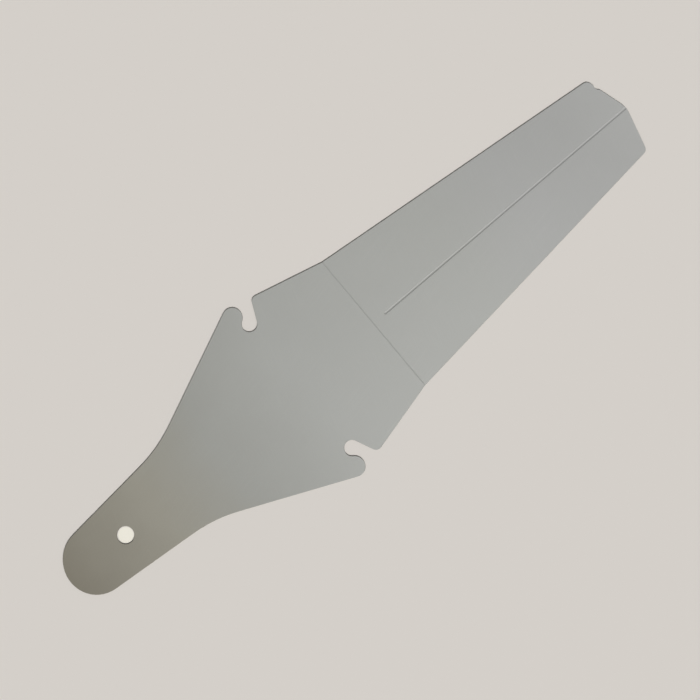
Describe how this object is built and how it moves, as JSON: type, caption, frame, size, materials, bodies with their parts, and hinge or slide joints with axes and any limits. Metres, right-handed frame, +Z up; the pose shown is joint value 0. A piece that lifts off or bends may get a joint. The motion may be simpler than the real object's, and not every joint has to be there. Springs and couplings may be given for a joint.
{
  "type": "bicycle mudguard",
  "caption": "Flat creased plastic sheet that clips onto saddle rails: rounded tongue with a hang hole, hooked wings with rail notches, and a pointed tail that folds along its middle.",
  "frame": {"origin": "middle of the sheet's length and width, on its underside", "axes": "+X along the sheet from the tongue to the tail, +Y to the left wing, +Z up out of the creased face"},
  "size_m": [0.3444, 0.1008, 0.0008],
  "materials": {
    "grey_polypropylene": "satin"
  },
  "bodies": {
    "root": {"mudguard_sheet": "grey_polypropylene"}
  },
  "joints": []
}
